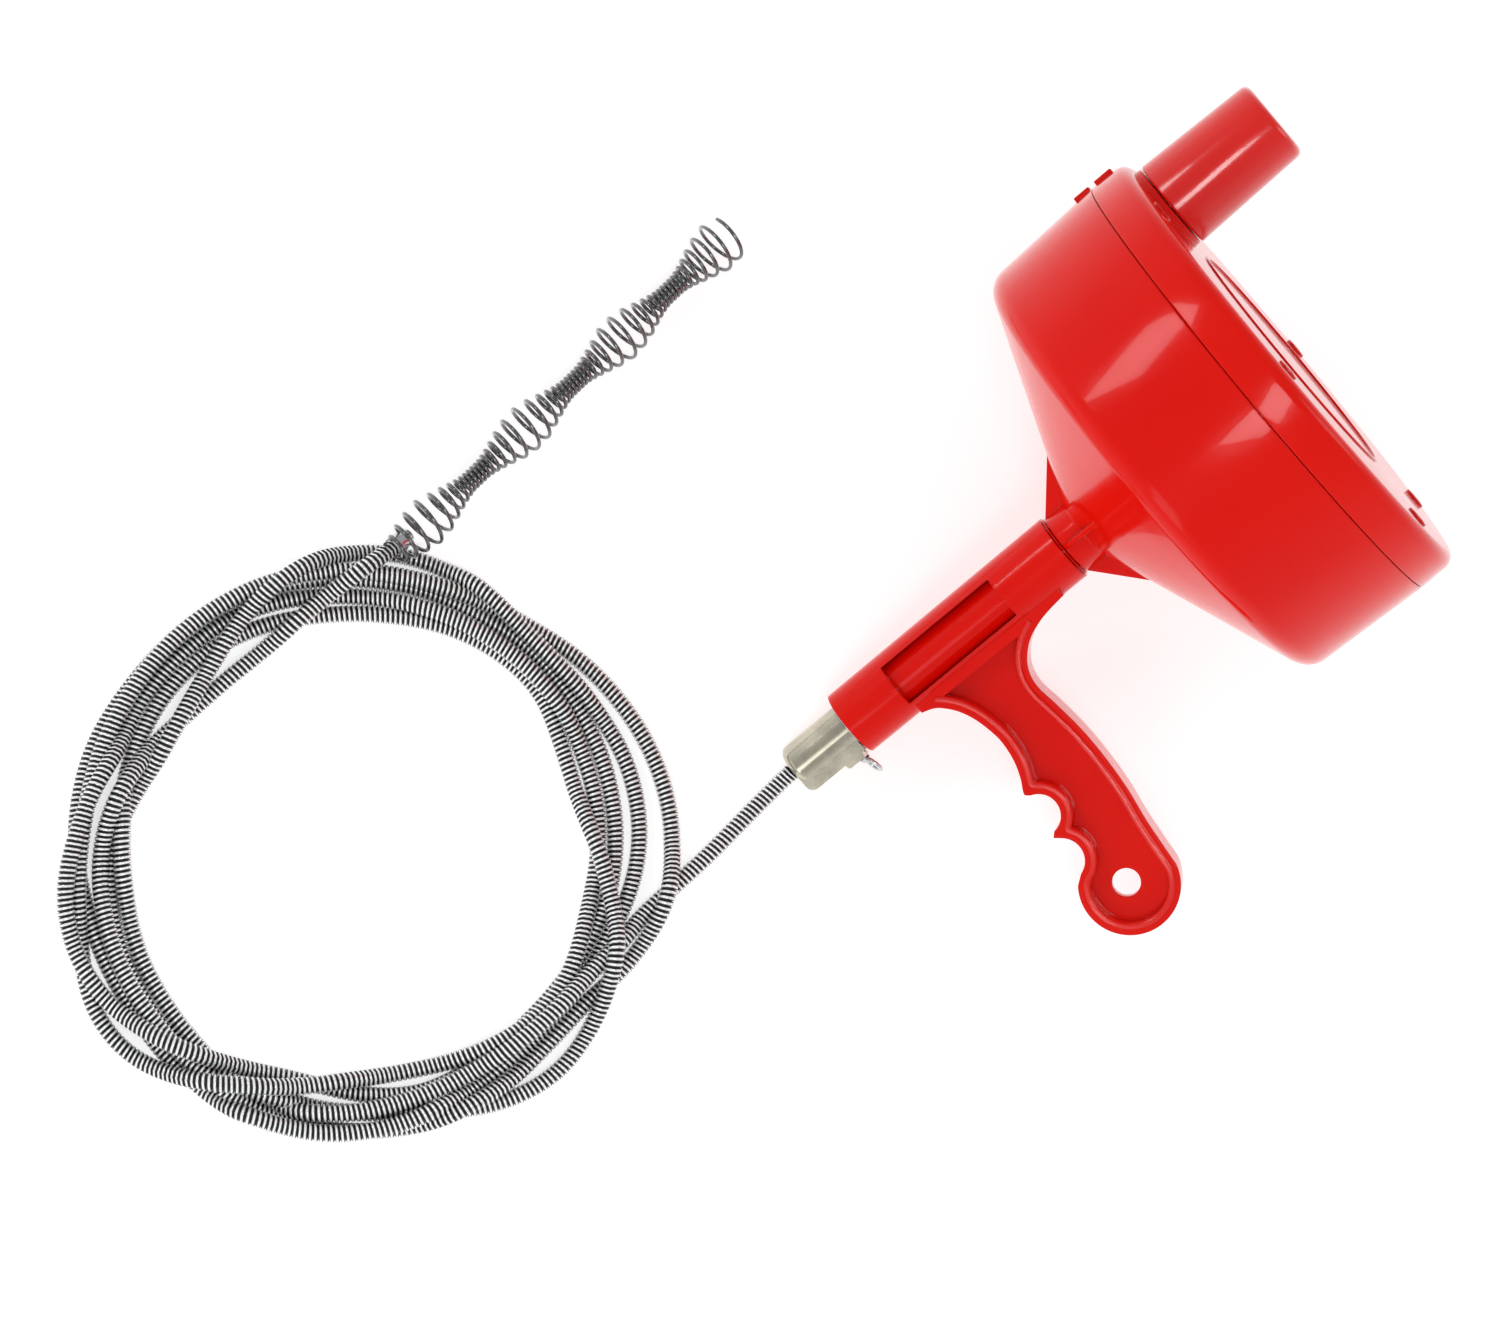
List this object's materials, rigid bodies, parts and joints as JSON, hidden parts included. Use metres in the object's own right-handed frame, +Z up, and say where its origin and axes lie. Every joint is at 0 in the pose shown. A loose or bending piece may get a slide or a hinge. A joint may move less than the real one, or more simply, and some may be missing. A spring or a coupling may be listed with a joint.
{
  "type": "drain auger",
  "caption": "Hand-crank drum drain auger: pistol-grip handle, turning cable drum with crank knob, cable chuck with thumb screw, coiled spring cable and bulbed auger head.",
  "frame": {"origin": "on the surface it lies on, below the middle of the tool's box without the free cable", "axes": "+Z up, +X from the chuck to the crank end, +Y to the knob's side, -Y down the pistol grip"},
  "size_m": [0.5324, 0.3298, 0.1967],
  "materials": {
    "red_plastic": "gloss",
    "spring_steel": "satin",
    "nickel_plate": "satin",
    "zinc_plate": "satin",
    "brass": "satin",
    "white_nylon": "satin"
  },
  "bodies": {
    "handle": {"handle_grip": "red_plastic", "front_washer": "zinc_plate", "rear_washer": "red_plastic", "cable_lead": "spring_steel", "cable_coil": "spring_steel", "auger_head": "spring_steel"},
    "drum": {"drum_bowl": "red_plastic", "drum_lid": "red_plastic", "lid_screw_1": "zinc_plate", "lid_screw_2": "zinc_plate", "lid_screw_3": "zinc_plate", "lid_screw_4": "zinc_plate", "lid_screw_5": "zinc_plate", "lid_screw_6": "zinc_plate", "cable_inner": "spring_steel", "cable_winding": "spring_steel", "cable_anchor": "zinc_plate", "anchor_screw": "zinc_plate", "chuck_body": "nickel_plate", "chuck_set_screw": "zinc_plate", "knob_spindle": "zinc_plate", "spindle_nut": "zinc_plate", "spindle_washer": "zinc_plate"},
    "knob": {"knob_shell": "red_plastic", "knob_bush": "white_nylon"},
    "clamp_shoe": {"clamp_shoe": "brass"},
    "thumb_screw": {"thumb_screw": "zinc_plate"}
  },
  "joints": [
    {"name": "drum_spin", "type": "hinge", "parent": "handle", "child": "drum", "pos_m": [0.02591, 0.018, 0.08389], "axis": [0.9027, 0, 0.4302], "continuous": true},
    {"name": "knob_spin", "type": "hinge", "parent": "drum", "child": "knob", "pos_m": [0.10716, 0.0904, 0.12261], "axis": [0.9027, 0, 0.4302], "continuous": true},
    {"name": "shoe_slide", "type": "slide", "parent": "drum", "child": "clamp_shoe", "axis": [0.2488, -0.9613, 0.1186], "range_m": [0, 0.0015]},
    {"name": "thumb_screw_turn", "type": "hinge", "parent": "clamp_shoe", "child": "thumb_screw", "pos_m": [-0.11419, 0.00671, 0.01712], "axis": [0.2488, -0.9613, 0.1186], "range_deg": [0, 540]}
  ],
  "couplings": [
    {"joint": "thumb_screw_turn", "follows": "shoe_slide", "rad_per_m": 6283.2}
  ]
}
